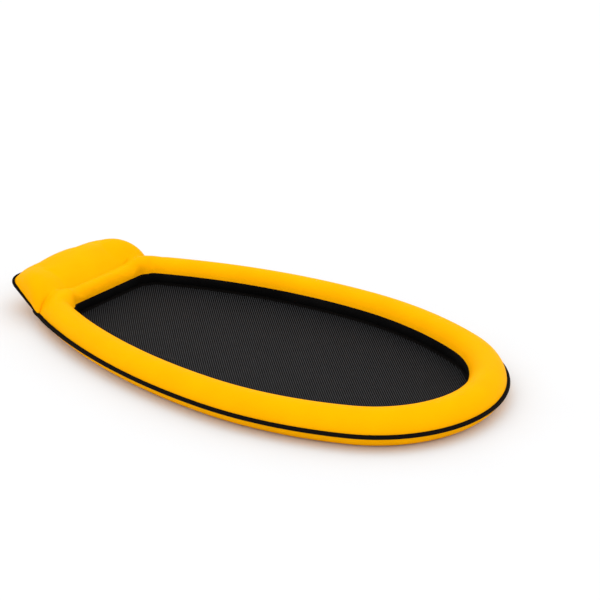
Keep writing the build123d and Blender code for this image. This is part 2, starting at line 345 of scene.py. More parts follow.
def ring_wall(stations):
    upper = stations.upper(even(INNER_SEAM_ANGLE, math.pi, 3))[:-1]
    lower = stations.inner_quarter(even(0, MESH_SEAM_ANGLE, WALL_ROWS - 3))
    return np.concatenate([upper, lower])


def ring_bottom(stations):
    outer = stations.outer_quarter(even(0, math.pi / 2, 8))
    flat_from = stations.outer - SEAM_Z
    flat_to = -(stations.inner - SEAM_Z)
    share = even(0, 1, 4)[1:-1]
    flat = stations.at(flat_from + (flat_to - flat_from) * share, 0.0 * share)
    inner = stations.inner_quarter(even(math.pi / 2, MESH_SEAM_ANGLE, BOTTOM_ROWS - 12))
    return np.concatenate([outer, flat, inner])


# ---- pillow ----
def pillow_rim(junction, count):
    """Plan points of the pillow's edge from the +X junction round the head to the other."""
    jx, jy = junction
    corner = np.array([PILLOW_HEAD_HALF, PILLOW_HEAD_Y])
    side = corner - junction
    length = np.linalg.norm(side)
    side = side / length
    turn = math.atan2(side[1], -side[0])
    cut = PILLOW_CORNER_R * math.tan(turn / 2)
    centre = np.array([corner[0] - cut, corner[1] - PILLOW_CORNER_R])
    start = math.atan2(-side[0], side[1])
    runs = [length - cut, PILLOW_CORNER_R * (math.pi / 2 - start), corner[0] - cut]
    total = sum(runs)
    d = np.abs(np.linspace(-total, total, count + 1))
    sign = np.where(np.linspace(-1, 1, count + 1) < 0, 1.0, -1.0)
    d = total - d
    arc = start + (d - runs[0]) / PILLOW_CORNER_R
    x = np.where(d < runs[0], jx + side[0] * d, centre[0] + PILLOW_CORNER_R * np.cos(arc))
    y = np.where(d < runs[0], jy + side[1] * d, centre[1] + PILLOW_CORNER_R * np.sin(arc))
    on_head = d > runs[0] + runs[1]
    x = np.where(on_head, total - d, x)
    y = np.where(on_head, PILLOW_HEAD_Y, y)
    return np.stack([x * sign, y], 1)


def slope_z(y, hinge_y):
    """Height of the pillow's edge: level along the ring, then up the slope."""
    return SEAM_Z + np.maximum(0, y - hinge_y) * TILT


def rim_distance(plan, rim):
    """How far each plan point is from the pillow's edge."""
    a, b = rim[:-1], rim[1:]
    along = b - a
    rel = plan[..., None, :] - a
    share = np.clip((rel * along).sum(-1) / (along**2).sum(-1), 0, 1)
    return np.linalg.norm(rel - share[..., None] * along, axis=-1).min(-1)


def side_distance(plan, junction):
    """How far each plan point is from the nearer side line of the pillow."""
    corner = np.array([PILLOW_HEAD_HALF, PILLOW_HEAD_Y])
    start = np.array([abs(junction[0]), junction[1]])
    along = (corner - start) / np.linalg.norm(corner - start)
    rel = np.stack([np.abs(plan[..., 0]), plan[..., 1]], -1) - start
    return np.abs(rel[..., 0] * along[1] - rel[..., 1] * along[0])


def rounded(distance, radius):
    """Share of the full height at a distance from an edge that is rounded by radius."""
    left = 1 - np.clip(distance / radius, 0, 1)
    return np.sqrt(1 - left**2)


def pillow_height(plan, rim):
    """Height of the puffed pillow over plan points, without the crease."""
    y = plan[..., 1]
    base = slope_z(y, rim[CORNER_COLUMNS, 1])
    crest = CREST_Z - CREST_FALL * np.minimum(0, y - CREST_Y)**2
    head = rounded(PILLOW_HEAD_Y - y, HEAD_ROUNDING + HEAD_ROUNDING_GAIN * plan[..., 0]**2)
    side = rounded(side_distance(plan, rim[CORNER_COLUMNS]), SIDE_ROUNDING)
    edge = rounded(rim_distance(plan, rim), RIM_ROUNDING)
    return base + (crest - base) * head * side * edge


def pillow_top(crease, rim):
    """The upper skin, from the crease to the rim, rows by columns."""
    t = even(0, 1, PILLOW_ROWS)[..., None]
    near = 1 - (1 - t)**1.5
    plan = crease[None, :, :2] * (1 - near) + rim[None] * near
    height = pillow_height(plan, rim)
    height += (crease[:, 2] - height[0]) * (1 - t[..., 0])**FRONT_SHARPNESS
    return np.concatenate([plan, height[..., None]], 2)


def pillow_bottom(hinge, rim):
    """The lower skin, from the ring's edge to the rim, with a rounded back at its middle."""
    hinge_y = rim[0, 1]
    t = even(0, 1, PILLOW_ROWS)[..., None]
    near = (1 - np.cos(math.pi * t)) / 2
    plan = hinge[None, :, :2] * (1 - near) + rim[None] * near
    length = np.linalg.norm(rim - hinge[:, :2], axis=1)
    full = np.clip(length / FULL_LENGTH, 0, 1)
    middle = smooth(np.clip((BACK_HALF - np.abs(plan[..., 0])) / BACK_FADE, 0, 1))
    drop = PILLOW_DROP + BACK_DROP * middle
    depth = drop * full * (4 * near[..., 0] * (1 - near[..., 0]))**0.5
    base = hinge[:, 2] * (1 - near[..., 0]) + slope_z(rim[:, 1], hinge_y) * near[..., 0]
    grid = np.concatenate([plan, (base - depth)[..., None]], 2)
    rel = grid[..., 1:] - np.array(BACK_CENTRE)
    reach = np.linalg.norm(rel, axis=-1)
    angle = np.degrees(np.arctan2(rel[..., 1], rel[..., 0]))
    share = smooth(np.clip((BACK_TOP_ANGLE - angle) / BACK_TOP_FADE, 0, 1))
    share *= smooth(np.clip((angle - BACK_LOW_ANGLE) / BACK_LOW_FADE, 0, 1))
    push = np.maximum(0, BACK_R / np.maximum(reach, 1e-6) - 1) * share * middle
    grid[..., 1:] += rel * push[..., None]
    return grid


# ---- meshes ----
def new_object(name, points, faces, uvs=None):
    """A smooth mesh object; uvs gives each face's corners in metres of cloth."""
    mesh = bpy.data.meshes.new(name)
    mesh.from_pydata([tuple(p) for p in points], [], [tuple(int(i) for i in f) for f in faces])
    if uvs is not None:
        layer = mesh.uv_layers.new(name="Cloth")
        layer.data.foreach_set("uv", np.concatenate([np.ravel(u) for u in uvs]).astype(np.float32))
    mesh.shade_smooth()
    made = bpy.data.objects.new(name, mesh)
    bpy.context.scene.collection.objects.link(made)
    return made


def run_lengths(grid):
    """Distance down the rows of a grid of points, from its first row."""
    steps = np.linalg.norm(np.diff(grid, axis=0), axis=2)
    return np.concatenate([np.zeros((1, grid.shape[1])), np.cumsum(steps, 0)])


class Skin:
    """Points and faces of several patches that share their edges."""

    def __init__(self):
        self.points, self.faces, self.region, self.uvs = [], [], [], []
        self.count, self.patches, self.joined = 0, [], None

    def add(self, grid, region, along, closed, flip=False):
        """Add a patch: rows by columns of points, and each column's place along the cloth."""
        rows, columns = grid.shape[:2]
        across = run_lengths(grid)
        for r in range(rows - 1):
            for c in range(columns if closed else columns - 1):
                n = (c + 1) % columns
                corners = [(r, c, c), (r, n, c + 1), (r + 1, n, c + 1), (r + 1, c, c)]
                if flip:
                    corners.reverse()
                self.faces.append([self.count + row * columns + col for row, col, _ in corners])
                self.uvs.append([(along[place], across[row, col]) for row, col, place in corners])
                self.region.append(region)
        self.points.append(grid.reshape(-1, 3))
        self.patches.append((self.count, grid.shape))
        self.count += rows * columns

    def grids(self, points):
        """The patches again, with the joined points moved to the given ones."""
        found = []
        for first, shape in self.patches:
            chosen = self.joined[first:first + shape[0] * shape[1]]
            found.append(points[chosen].reshape(shape))
        return found

    def welded(self, within=2e-5):
        """Points, faces, regions and cloth places with the shared points joined."""
        points = np.concatenate(self.points)
        keys = np.round(points / within).astype(np.int64)
        _, first, inverse = np.unique(keys, axis=0, return_index=True, return_inverse=True)
        inverse = self.joined = inverse.ravel()
        faces, region, uvs = [], [], []
        for face, where, places in zip(self.faces, self.region, self.uvs):
            joined, kept = [], []
            for corner, place in zip(inverse[face], places):
                if corner not in joined:
                    joined.append(int(corner))
                    kept.append(place)
            if len(joined) > 2:
                faces.append(joined)
                region.append(where)
                uvs.append(kept)
        return points[first], faces, np.array(region), uvs


def vertex_normals(points, faces):
    """Outward unit normals from the quads' and triangles' areas."""
    normals = np.zeros_like(points)
    for size in (3, 4):
        chosen = np.array([f for f in faces if len(f) == size])
        if not len(chosen):
            continue
        crossed = np.cross(points[chosen[:, 2]] - points[chosen[:, 0]],
                           points[chosen[:, -1]] - points[chosen[:, 1]])
        for corner in range(size):
            np.add.at(normals, chosen[:, corner], crossed)
    return normals / np.linalg.norm(normals, axis=1, keepdims=True)


def edges_of(faces):
    """Each edge of the faces once, as a pair of point numbers."""
    return np.array(sorted({tuple(sorted(p)) for f in faces for p in zip(f, f[1:] + f[:1])}))


def bending_matrix(points, faces, free, hinge):
    """How the skin bends at and next to the free points, hinge points bending freely."""
    edges = edges_of(faces)
    near = free.copy()
    near[edges[free[edges].any(1)]] = True
    near &= ~hinge
    edges = edges[near[edges].any(1)]
    weight = 1 / np.linalg.norm(points[edges[:, 0]] - points[edges[:, 1]], axis=1)
    used = np.unique(edges)
    place = np.full(len(points), -1)
    place[used] = np.arange(len(used))
    a, b = place[edges].T
    bending = np.zeros((len(used), len(used)))
    bending[a, b] = weight
    bending[b, a] = weight
    bending /= bending.sum(1)[:, None]
    bending -= np.eye(len(used))
    return bending[near[used]], used


def fair(points, faces, free, hinge):
    """Move the free points so that the skin bends as little as it can, the others held."""
    bending, used = bending_matrix(points, faces, free, hinge)
    moving = free[used]
    held = bending[:, ~moving] @ points[used[~moving]]
    faired = points.copy()
    faired[used[moving]] = np.linalg.lstsq(bending[:, moving], -held, rcond=None)[0]
    return faired


def relaxed(points, faces, free, rounds):
    """Even out the free points towards their neighbours, nearer ones counting more."""
    edges = edges_of(faces)
    edges = edges[free[edges].any(1)]
    a, b = edges.T
    for _ in range(rounds):
        weight = 1 / np.linalg.norm(points[a] - points[b], axis=1)[:, None]
        total, share = np.zeros_like(points), np.zeros((len(points), 1))
        np.add.at(total, a, points[b] * weight)
        np.add.at(total, b, points[a] * weight)
        np.add.at(share, a, weight)
        np.add.at(share, b, weight)
        points = np.where(free[:, None], total / np.maximum(share, 1e-9), points)
    return points


def puff(points, faces, free, hinge, most):
    """Blow the free points out along their normals, by most at the fullest place."""
    bending, used = bending_matrix(points, faces, free, hinge)
    moving = bending[:, free[used]]
    lift = np.linalg.solve(moving.T @ moving, np.ones(moving.shape[1]))
    puffed = points.copy()
    normals = vertex_normals(points, faces)[used[free[used]]]
    puffed[used[free[used]]] += normals * (most * lift / lift.max())[:, None]
    return puffed


def blown(points, faces, pinned):
    """The head's covers after a short cloth simulation under air pressure, pinned at the seams.
    """
    cloth_faces = [f for f in faces if (points[f, 1] > CLOTH_FROM_Y).all()]
    used = np.unique(np.concatenate(cloth_faces))
    place = np.full(len(points), -1)
    place[used] = np.arange(len(used))
    piece = new_object("cloth_head", points[used], [place[f] for f in cloth_faces])
    group = piece.vertex_groups.new(name="pin")
    group.add([int(i) for i in np.flatnonzero(pinned[used])], 1.0, "REPLACE")
    cloth = piece.modifiers.new("cloth", "CLOTH")
    cloth.settings.quality = CLOTH_STEPS
    cloth.settings.mass = CLOTH_MASS
    cloth.settings.tension_stiffness = CLOTH_STRETCH
    cloth.settings.compression_stiffness = CLOTH_STRETCH
    cloth.settings.shear_stiffness = CLOTH_SHEAR
    cloth.settings.bending_stiffness = CLOTH_BENDING
    cloth.settings.use_pressure = True
    cloth.settings.uniform_pressure_force = AIR_PRESSURE
    cloth.settings.shrink_min = -CLOTH_EASE
    cloth.settings.vertex_group_mass = "pin"
    cloth.settings.effector_weights.gravity = 0
    cloth.collision_settings.use_collision = False
    cloth.collision_settings.use_self_collision = False
    cloth.point_cache.frame_start = 1
    cloth.point_cache.frame_end = CLOTH_FRAMES
    for number in range(1, CLOTH_FRAMES + 1):
        bpy.context.scene.frame_set(number)
    shaped = piece.evaluated_get(bpy.context.evaluated_depsgraph_get())
    moved = np.zeros(len(used) * 3)
    shaped.data.vertices.foreach_get("co", moved)
    move = moved.reshape(-1, 3) - points[used]
    size = np.linalg.norm(move, axis=1, keepdims=True)
    move *= np.minimum(1, CLOTH_CAP / np.maximum(size, 1e-9))
    result = points.copy()
    result[used] += move
    bpy.data.objects.remove(piece)
    bpy.context.scene.frame_set(1)
    return result


def refined(points, faces, region, uvs, sharp):
    """The same skin with each face cut in four and rounded, the sharp points' edges held."""
    piece = new_object("refining", points, faces, uvs)
    for number in range(len(REGIONS)):
        piece.data.materials.append(bpy.data.materials.new("region"))
    piece.data.polygons.foreach_set("material_index", region)
    crease = piece.data.attributes.new("crease_edge", "FLOAT", "EDGE")
    ends = np.zeros(len(piece.data.edges) * 2, np.int32)
    piece.data.edges.foreach_get("vertices", ends)
    crease.data.foreach_set("value", sharp[ends.reshape(-1, 2)].all(1).astype(np.float32))
    piece.modifiers.new("finer", "SUBSURF").levels = 1
    shaped = piece.evaluated_get(bpy.context.evaluated_depsgraph_get()).to_mesh()
    new_points = np.zeros(len(shaped.vertices) * 3)
    shaped.vertices.foreach_get("co", new_points)
    corners = np.zeros(len(shaped.loops), np.int32)
    shaped.loops.foreach_get("vertex_index", corners)
    new_region = np.zeros(len(shaped.polygons), np.int32)
    shaped.polygons.foreach_get("material_index", new_region)
    new_uvs = np.zeros(len(shaped.loops) * 2)
    shaped.uv_layers[0].data.foreach_get("uv", new_uvs)
    for material in list(piece.data.materials):
        bpy.data.materials.remove(material)
    bpy.data.objects.remove(piece)
    return new_points.reshape(-1, 3), corners.reshape(-1, 4), new_region, new_uvs.reshape(-1, 4, 2)


def seat_valves(points, faces, region):
    """Lay the lower covers against each valve's collar, but not where a binding covers them."""
    seated = points.copy()
    under = np.isin(region, (BOTTOM, PILLOW_BOTTOM))
    lower, other = np.zeros(len(points), bool), np.zeros(len(points), bool)
    lower[faces[under]] = True
    other[faces[~under]] = True
    border = points[lower & other]
    for joint in frame["joints"]:
        if joint["type"] != "slide":
            continue
        axis = np.array(joint["axis"])
        collar = frame["nodes"][joint["name"].replace("cap_pull", "valve_collar")]
        ring = np.array([collar.matrix_world @ v.co for v in collar.data.vertices])
        centre = (ring.min(0) + ring.max(0)) / 2
        centre += axis * (((ring - centre) @ axis).max() - COLLAR_TOP)
        level = np.array([-axis[1], axis[0], 0])
        rel = seated - centre
        height = rel @ axis
        across = np.linalg.norm(rel - height[:, None] * axis, axis=1)
        share = smooth(np.clip(1 - (across - VALVE_SEAT_R) / VALVE_SEAT_FADE, 0, 1))
        share[(np.abs(height) > VALVE_SEAT_R) | ~lower | other] = 0
        near = np.flatnonzero(share)
        gap = np.linalg.norm(points[near, None] - border[None], axis=2).min(1)
        share[near] *= smooth(np.clip((gap - BINDING_LEG) / SEAT_BORDER_FADE, 0, 1))
        uphill = np.abs(rel @ np.cross(axis, level / np.linalg.norm(level)))
        curve = rounded(VALVE_WALL_R - uphill, VALVE_WALL_R) * VALVE_WALL_R - VALVE_WALL_R
        seated -= axis * ((height - curve) * share)[:, None]
    return seated


def shell(name, points, normals, faces, uvs, thickness):
    """A closed thin piece: the faces, the same faces thickness inside, and a rim between."""
    used = np.unique(faces)
    place = np.full(len(points), -1)
    place[used] = np.arange(len(used))
    outer = place[faces]
    count = len(used)
    inner = outer[:, ::-1] + count
    edges = np.stack([outer, np.roll(outer, -1, 1)], 2).reshape(-1, 2)
    keys = edges[:, 0].astype(np.int64) * count + edges[:, 1]
    back = edges[:, 1].astype(np.int64) * count + edges[:, 0]
    open_edges = edges[~np.isin(keys, back)]
    a, b = open_edges.T
    rim_faces = np.stack([b, a, a + count, b + count], 1)
    rim_uvs = np.zeros((len(a), 4, 2))
    corner_uv = np.zeros((count, 2))
    corner_uv[outer.ravel()] = uvs.reshape(-1, 2)
    rim_uvs[:, 0] = rim_uvs[:, 3] = corner_uv[b]
    rim_uvs[:, 1] = rim_uvs[:, 2] = corner_uv[a]
    solid = np.concatenate([points[used], points[used] - normals[used] * thickness])
    piece = new_object(name, solid, np.concatenate([outer, inner, rim_faces]),
                       np.concatenate([uvs, uvs[:, ::-1], rim_uvs]))
    both = np.concatenate([normals[used], -normals[used]])
    piece.data.normals_split_custom_set_from_vertices([tuple(n) for n in both])
    return piece


def sweep(name, path, outward, profile, closed):
    """A piece with the profile (outwards, up) swept along a path of points."""
    count, sides = len(path), len(profile)
    up = np.array([0, 0, 1.0])
    out = outward[:, None] * profile[None, :, :1]
    points = (path[:, None] + out + up * profile[None, :, 1:]).reshape(-1, 3)
    runs = np.linalg.norm(np.diff(np.concatenate([path, path[:1]]), axis=0), axis=1)
    along = np.concatenate([[0], np.cumsum(runs)])
    wrapped = np.concatenate([profile, profile[:1]])
    around = np.concatenate([[0], np.cumsum(np.linalg.norm(np.diff(wrapped, axis=0), axis=1))])
    faces, uvs = [], []
    for i in range(count if closed else count - 1):
        n = (i + 1) % count
        for j in range(sides):
            k = (j + 1) % sides
            faces.append([i * sides + j, i * sides + k, n * sides + k, n * sides + j])
            uvs.append([(along[i], around[j]), (along[i], around[j + 1]),
                        (along[i + 1], around[j + 1]), (along[i + 1], around[j])])
    if not closed:
        for i, order in ((0, range(sides - 1, -1, -1)), (count - 1, range(sides))):
            faces.append([i * sides + j for j in order])
            uvs.append([tuple(profile[j]) for j in order])
    return new_object(name, points, faces, uvs)


# ---- build the skin ----
stations = ring_stations()
top, wall, bottom = ring_top(stations), ring_wall(stations), ring_bottom(stations)
crease_columns = np.arange(HEAD_COLUMNS + 2 * CORNER_COLUMNS + 1)
head_columns = crease_columns[CORNER_COLUMNS:-CORNER_COLUMNS]
crease, hinge = top[0][crease_columns], bottom[0][head_columns]
pillow_edge = pillow_rim(hinge[-1, :2], HEAD_COLUMNS)[::-1]
edge_side = bottom[0][crease_columns][:, :2]
rim = np.concatenate([edge_side[:CORNER_COLUMNS], pillow_edge, edge_side[-CORNER_COLUMNS:]])
around_ring = np.append(stations.s, stations.s[0] + 2 * HALF_LENGTH)
upper_pillow, lower_pillow = pillow_top(crease, rim), pillow_bottom(hinge, pillow_edge)
across_pillow = stations.s[crease_columns]
skin = Skin()
skin.add(top, TOP, around_ring, True, flip=True)
skin.add(wall, WALL, around_ring, True, flip=True)
skin.add(bottom, BOTTOM, around_ring, True)
skin.add(upper_pillow, PILLOW_TOP, across_pillow, False)
skin.add(lower_pillow, PILLOW_BOTTOM, stations.s[head_columns], False, flip=True)
points, faces, region, uvs = skin.welded()


def touching(regions):
    """Which points belong to a face of one of the regions."""
    touched = np.zeros(len(points), bool)
    for face, where in zip(faces, region):
        if where in regions:
            touched[face] = True
    return touched


upper = touching((TOP, PILLOW_TOP))
seam = upper & touching((WALL, BOTTOM, PILLOW_BOTTOM))
seam |= touching((WALL,)) & touching((BOTTOM,))
seam |= touching((PILLOW_BOTTOM,)) & touching((BOTTOM,))
middle = touching((TOP,)) & touching((PILLOW_TOP,)) & (np.abs(points[:, 0]) < FLANK_X)
x, y = np.abs(points[:, 0]), points[:, 1]
flank = (x > FLANK_X) & (y > FLANK_Y[0]) & (y < FLANK_Y[1]) & upper & ~seam
hinge_line = seam & touching((PILLOW_BOTTOM,))
points = fair(points, faces, flank, hinge_line)
for side in (1, -1):
    x, y = points[:, 0] * side, points[:, 1]
    full = (x > PUFF_X) & (y > PUFF_Y[0]) & (y < PUFF_Y[1]) & upper & ~seam
    points = puff(points, faces, full, hinge_line, PUFF)
    points = relaxed(points, faces, full & (x > FLANK_X), FLANK_ROUNDS)
held = seam | middle | touching((WALL, BOTTOM))
held |= points[:, 1] < CLOTH_FROM_Y + CLOTH_PINNED_RUN
head_end = upper & ~seam & (points[:, 1] > HEAD_END_Y)
points = relaxed(points, faces, head_end, HEAD_END_ROUNDS)
points = blown(points, faces, held)
top, wall, bottom, upper_pillow, lower_pillow = skin.grids(points)
crease = top[0][crease_columns]
points, faces, region, uvs = refined(points, faces, region, uvs, seam)
points = seat_valves(points, faces, region)
normals = vertex_normals(points, faces)


def cover(name, number, bends, replaced):
    chosen = region == number
    piece = shell(name, points, normals, faces[chosen], uvs[chosen], COVER_THICKNESS)
    if bends:
        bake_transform(piece)
    else:
        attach(piece, "float_ring")
    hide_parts(replaced)
    return piece


tube_top = cover("ring_cover_upper", TOP, True, "tube_cover_top")
tube_bottom = cover("ring_cover_lower", BOTTOM, True, "tube_cover_bottom")
inner_wall = cover("ring_inner_wall", WALL, False, "tube_inner_wall")
pillow_upper = cover("pillow_cover_upper", PILLOW_TOP, True, "pillow_cover_top")
pillow_lower = cover("pillow_cover_lower", PILLOW_BOTTOM, True,
                     "pillow_cover_bottom")


# ---- bladders ----
def bladder(name, body, replaced):
    """A film chamber inside the covers, closed by the wall between ring and pillow."""
    chamber = Skin()
    partition = np.stack([crease * (1 - t) + bottom[0][crease_columns] * t
                          for t in np.linspace(0, 1, 5)])
    if body == "float_ring":
        chamber.add(top, TOP, around_ring, True, flip=True)
        chamber.add(wall, WALL, around_ring, True, flip=True)
        chamber.add(bottom, BOTTOM, around_ring, True)
        chamber.add(partition, WALL, across_pillow, False)
    else:
        chamber.add(upper_pillow, PILLOW_TOP, across_pillow, False)
        chamber.add(lower_pillow, PILLOW_BOTTOM, stations.s[head_columns], False, flip=True)
        chamber.add(partition, WALL, across_pillow, False, flip=True)
    film, film_faces, _, film_uvs = chamber.welded()
    film = film - vertex_normals(film, film_faces) * BLADDER_INSET
    edges = edges_of(film_faces)
    degree = np.bincount(edges.ravel(), minlength=len(film))[:, None]
    for _ in range(BLADDER_SMOOTHING):
        total = np.zeros_like(film)
        np.add.at(total, edges[:, 0], film[edges[:, 1]])
        np.add.at(total, edges[:, 1], film[edges[:, 0]])
        film = (film + total / degree) / 2
    piece = new_object(name, film, film_faces, film_uvs)
    if body == "float_ring":
        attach(piece, body)
    else:
        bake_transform(piece)
    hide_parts(replaced)
    return piece


ring_film = bladder("ring_bladder", "float_ring", "tube_bladder")
pillow_film = bladder("pillow_air_bladder", "pillow", "pillow_bladder")


# ---- bindings ----
def bead_profile(radius, centre, leg, thick):
    """A round bead with a flat tape leg above and below, hugging the cover's edge."""
    turns = np.radians(np.linspace(-138, 138, 15))
    bead = [(centre + radius * math.cos(t), radius * math.sin(t)) for t in turns]
    low = [(-0.0012, -leg), (thick * 0.6, -leg)]
    high = [(thick * 0.6, leg), (-0.0012, leg)]
    return np.array(low + bead + high)


def outward_of(path, closed):
    """Level outward directions of a path that runs clockwise seen from above."""
    if closed:
        ahead = np.roll(path, -1, 0) - np.roll(path, 1, 0)
    else:
        ahead = np.gradient(path, axis=0)
    side = np.stack([-ahead[:, 1], ahead[:, 0], np.zeros(len(path))], 1)
    return side / np.linalg.norm(side, axis=1, keepdims=True)


def ring_edge(s):
    """The ring's outer edge at distances s."""
    at = Stations(s)
    plan = at.centre + at.out * np.maximum(at.outer, HOOP_COVER)[:, None]
    return np.concatenate([plan, np.full((len(plan), 1), SEAM_Z)], 1)


ring_path = ring_edge(np.linspace(0, 2 * HALF_LENGTH, RING_STEPS, endpoint=False))
ring_out = outward_of(ring_path, True)
profile = bead_profile(BINDING_R, BINDING_R * 0.9, BINDING_LEG, BINDING_THICK)
ring_binding = sweep("ring_edge_binding", ring_path, ring_out, profile, True)
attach(ring_binding, "float_ring")
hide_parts("edge_binding")

edge_z = slope_z(pillow_edge[:, 1], hinge[0, 1])
pillow_path = np.concatenate([pillow_edge, edge_z[:, None]], 1)
fine = np.linspace(0, len(pillow_path) - 1, PILLOW_STEPS)
pillow_path = np.stack([np.interp(fine, np.arange(len(pillow_path)), axis)
                        for axis in pillow_path.T], 1)
pillow_out = outward_of(pillow_path, False)
profile = bead_profile(PILLOW_BINDING_R, PILLOW_BINDING_R * 0.7, PILLOW_LEG, BINDING_THICK)
pillow_tape = sweep("pillow_edge_binding", pillow_path, pillow_out, profile, False)
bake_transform(pillow_tape)
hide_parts("pillow_binding")


# ---- mesh bed ----
def bed_border():
    """Plan points along the mesh's seam."""
    across = -(stations.inner - SEAM_Z + SEAM_Z * math.cos(MESH_SEAM_ANGLE))
    return stations.centre + stations.out * across[:, None]


def ridge(plan, line, width, height):
    """Height of a soft wrinkle that follows a line of plan points and fades at its ends."""
    line = np.array(line)
    a, b = line[:-1], line[1:]
    along = b - a
    rel = plan[..., None, :] - a
    share = np.clip((rel * along).sum(-1) / (along**2).sum(-1), 0, 1)
    gap = np.linalg.norm(rel - share[..., None] * along, axis=-1)
    nearest = gap.argmin(-1)
    place = (nearest + np.take_along_axis(share, nearest[..., None], -1)[..., 0]) / len(a)
    return height * np.exp(-(gap.min(-1) / width)**2) * np.sin(math.pi * place)


def bed_points():
    """Rows by columns of the mesh, from its seam to the middle line."""
    border = bed_border()
    spine = np.stack([np.zeros(len(border)),
                      np.clip(border[:, 1], FOOT_Y + BED_SPINE_END, HEAD_Y - BED_SPINE_END)], 1)
    t = even(0, 1, BED_ROWS)[..., None]
    plan = border[None] * (1 - t) + spine[None] * t
    inward = np.linalg.norm(plan - border[None], axis=2)
    z = BED_EDGE_Z - BED_SAG * (1 - np.exp(-inward / BED_SAG_RUN))
    phase = stations.s * 2 * math.pi / BED_PUCKER_PITCH
    pucker = np.sin(phase + 1.7 * np.sin(phase * 0.137)) * (0.6 + 0.4 * np.sin(phase * 0.061 + 1))
    rise = inward / BED_PUCKER_REACH
    z += BED_PUCKER * pucker[None] * rise * np.exp(1 - rise)
    for line, width, height in BED_WRINKLES:
        z += ridge(plan, line, width, height)
    return np.concatenate([plan, z[..., None]], 2)


bed = Skin()
bed_grid = bed_points()
bed.add(bed_grid, 0, around_ring, True, flip=True)
bed_p, bed_f, _, bed_uv = bed.welded()
bed_sharp = bed_p[:, 2] > BED_EDGE_Z - 1e-6
bed_p, bed_f, _, _ = refined(bed_p, bed_f, np.zeros(len(bed_f), np.int32), bed_uv, bed_sharp)
bed_normals = vertex_normals(bed_p, bed_f)
mesh_bed = shell("mesh_bed", bed_p, bed_normals, bed_f, bed_p[bed_f][:, :, :2], BED_THICKNESS)
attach(mesh_bed, "float_ring")
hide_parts("mesh_panel")

tape_path = bed_border()
tape_path = np.concatenate([tape_path, np.full((len(tape_path), 1), BED_EDGE_Z)], 1)
tape_out = np.concatenate([stations.out, np.zeros((len(stations.out), 1))], 1)
seam_tape = sweep("bed_seam_tape", tape_path, tape_out, np.array(SEAM_TAPE_PROFILE), True)
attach(seam_tape, "float_ring")
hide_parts("mesh_seam_tape")


# ---- materials ----
class Graph:
    """A material's nodes, made one at a time."""

    def __init__(self, name, **plain):
        self.material = bpy.data.materials.new(name)
        self.material.use_nodes = True
        self.tree = self.material.node_tree
        self.shader = self.tree.nodes["Principled BSDF"]
        for socket, value in plain.items():
            self.shader.inputs[socket.replace("_", " ")].default_value = value

    def put(self, value, socket):
        if isinstance(value, bpy.types.NodeSocket):
            self.tree.links.new(value, socket)
        else:
            socket.default_value = value

    def node(self, kind, inputs=(), **settings):
        made = self.tree.nodes.new(kind)
        for key, value in settings.items():
            setattr(made, key, value)
        for key, value in dict(inputs).items():
            self.put(value, made.inputs[key])
        return made

    def math(self, operation, first, second=0.0):
        made = self.node("ShaderNodeMath", operation=operation)
        self.put(first, made.inputs[0])
        self.put(second, made.inputs[1])
        return made.outputs[0]

    def cloth(self):
        """The place on the cloth, along and across, in metres."""
        place = self.node("ShaderNodeUVMap", uv_map="Cloth").outputs[0]
        split = self.node("ShaderNodeSeparateXYZ", {0: place})
        return place, split.outputs[0], split.outputs[1]

    def wave(self, place, pitch):
        return self.math("SINE", self.math("MULTIPLY", place, 2 * math.pi / pitch))

    def noise(self, scale, detail=3.0, roughness=0.5):
        where = self.node("ShaderNodeTexCoord").outputs["Object"]
        return self.node("ShaderNodeTexNoise", {"Vector": where, "Scale": scale,
                         "Detail": detail, "Roughness": roughness}).outputs[0]

    def ramp(self, share, *stops):
        made = self.node("ShaderNodeValToRGB", {0: share})
        for (place, colour), index in zip(stops, range(len(stops))):
            stop = made.color_ramp.elements
            stop = stop[index] if index < len(stop) else stop.new(place)
            stop.position = place
            stop.color = (*colour, 1)
        return made.outputs[0]

    def spread(self, share, low, high):
        return self.node("ShaderNodeMapRange", {"Value": share, "To Min": low,
                         "To Max": high}).outputs[0]

    def bump(self, height, distance, strength=1.0, over=None):
        made = self.node("ShaderNodeBump", {"Height": height, "Distance": distance,
                         "Strength": strength})
        if over is not None:
            self.put(over, made.inputs["Normal"])
        return made.outputs[0]

    def finish(self, colour=None, roughness=None, normal=None):
        for value, socket in ((colour, "Base Color"), (roughness, "Roughness"),
                              (normal, "Normal")):
            if value is not None:
                self.put(value, self.shader.inputs[socket])
        return self.material


def woven(name, dark, light, pitch, low, high, depth, **plain):
    """Coated plain-weave cloth with a slight unevenness of colour and sheen."""
    g = Graph(name, **plain)
    _, along, across = g.cloth()
    over = g.math("MULTIPLY", g.wave(along, pitch), g.wave(across, pitch))
    broad = g.noise(9.0, 2.0)
    threads = g.noise(420.0, 4.0, 0.6)
    mix = g.math("ADD", g.math("MULTIPLY", broad, 0.7), g.math("MULTIPLY", threads, 0.3))
    mix = g.math("ADD", mix, g.math("MULTIPLY", over, 0.08))
    colour = g.ramp(mix, (0.30, dark), (0.70, light))
    rough = g.spread(g.noise(60.0, 5.0, 0.6), low, high)
    soft = g.bump(g.noise(30.0, 3.0, 0.5), 0.0012, 0.5)
    fine = g.bump(over, depth, 0.6, soft)
    return g.finish(colour, rough, fine)


